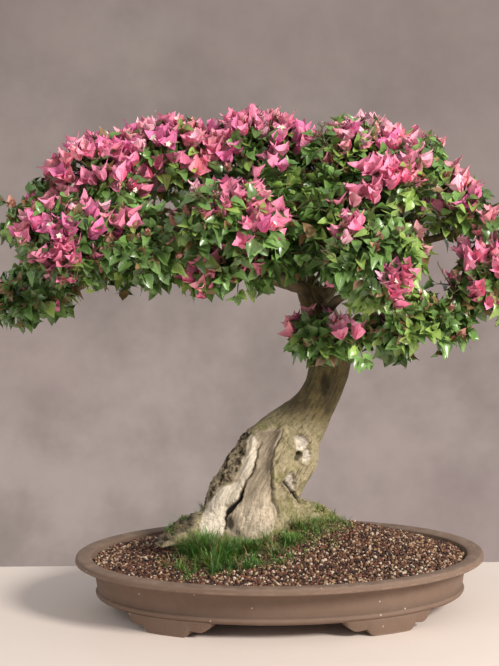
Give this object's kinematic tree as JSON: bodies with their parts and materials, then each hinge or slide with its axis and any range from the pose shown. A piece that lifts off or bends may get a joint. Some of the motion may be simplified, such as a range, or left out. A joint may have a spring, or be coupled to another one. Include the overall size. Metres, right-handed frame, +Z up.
{
  "type": "bougainvillea bonsai in an oval pot",
  "caption": "Flowering bougainvillea bonsai with a leaning flared trunk, a broad domed crown of leaves and pink bracts, and a shallow oval footed clay pot.",
  "frame": {"origin": "on the surface the pot stands on, under the middle of the whole plant's box", "axes": "+Z up, +X to the right of the front view along the pot's long axis and the crown's longest reach, +Y away from the viewer"},
  "size_m": [0.6799, 0.4545, 0.617],
  "materials": {
    "pot": "unglazed fired stoneware, matt, with fine light specks",
    "soil": "granular soil of dark, brown and pale grains",
    "moss": "short grass and moss",
    "bark": "ridged bark with pale dead wood and moss stain",
    "leaves": "smooth leaves with a soft sheen",
    "bracts": "papery pink bracts"
  },
  "bodies": {
    "root": {"pot": "pot", "soil": "soil", "moss": "moss", "trunk": "bark", "bough_left_low": "bark", "bough_left_tip": "bark", "bough_left_front": "bark", "bough_left_back": "bark", "bough_left_top": "bark", "bough_crest_left": "bark", "bough_flank_left": "bark", "bough_flank_back": "bark", "bough_left_inner": "bark", "bough_front": "bark", "bough_front_low": "bark", "bough_crest": "bark", "bough_back": "bark", "bough_crest_right": "bark", "bough_right_top": "bark", "bough_right_front": "bark", "bough_right_far": "bark", "bough_right_tip": "bark", "bough_right_low": "bark", "bough_right_back": "bark", "foliage_left_low": "leaves", "foliage_left_tip": "bracts", "foliage_left_front": "bracts", "foliage_left_back": "bracts", "foliage_left_top": "bracts", "foliage_crest_left": "bracts", "foliage_flank_left": "leaves", "foliage_flank_back": "bracts", "foliage_left_inner": "leaves", "foliage_front": "bracts", "foliage_front_low": "leaves", "foliage_crest": "bracts", "foliage_back": "bracts", "foliage_crest_right": "bracts", "foliage_right_top": "bracts", "foliage_right_front": "bracts", "foliage_right_far": "bracts", "foliage_right_tip": "bracts", "foliage_right_low": "leaves", "foliage_right_back": "bracts", "foliage_trunk_shoot": "leaves"}
  },
  "joints": []
}
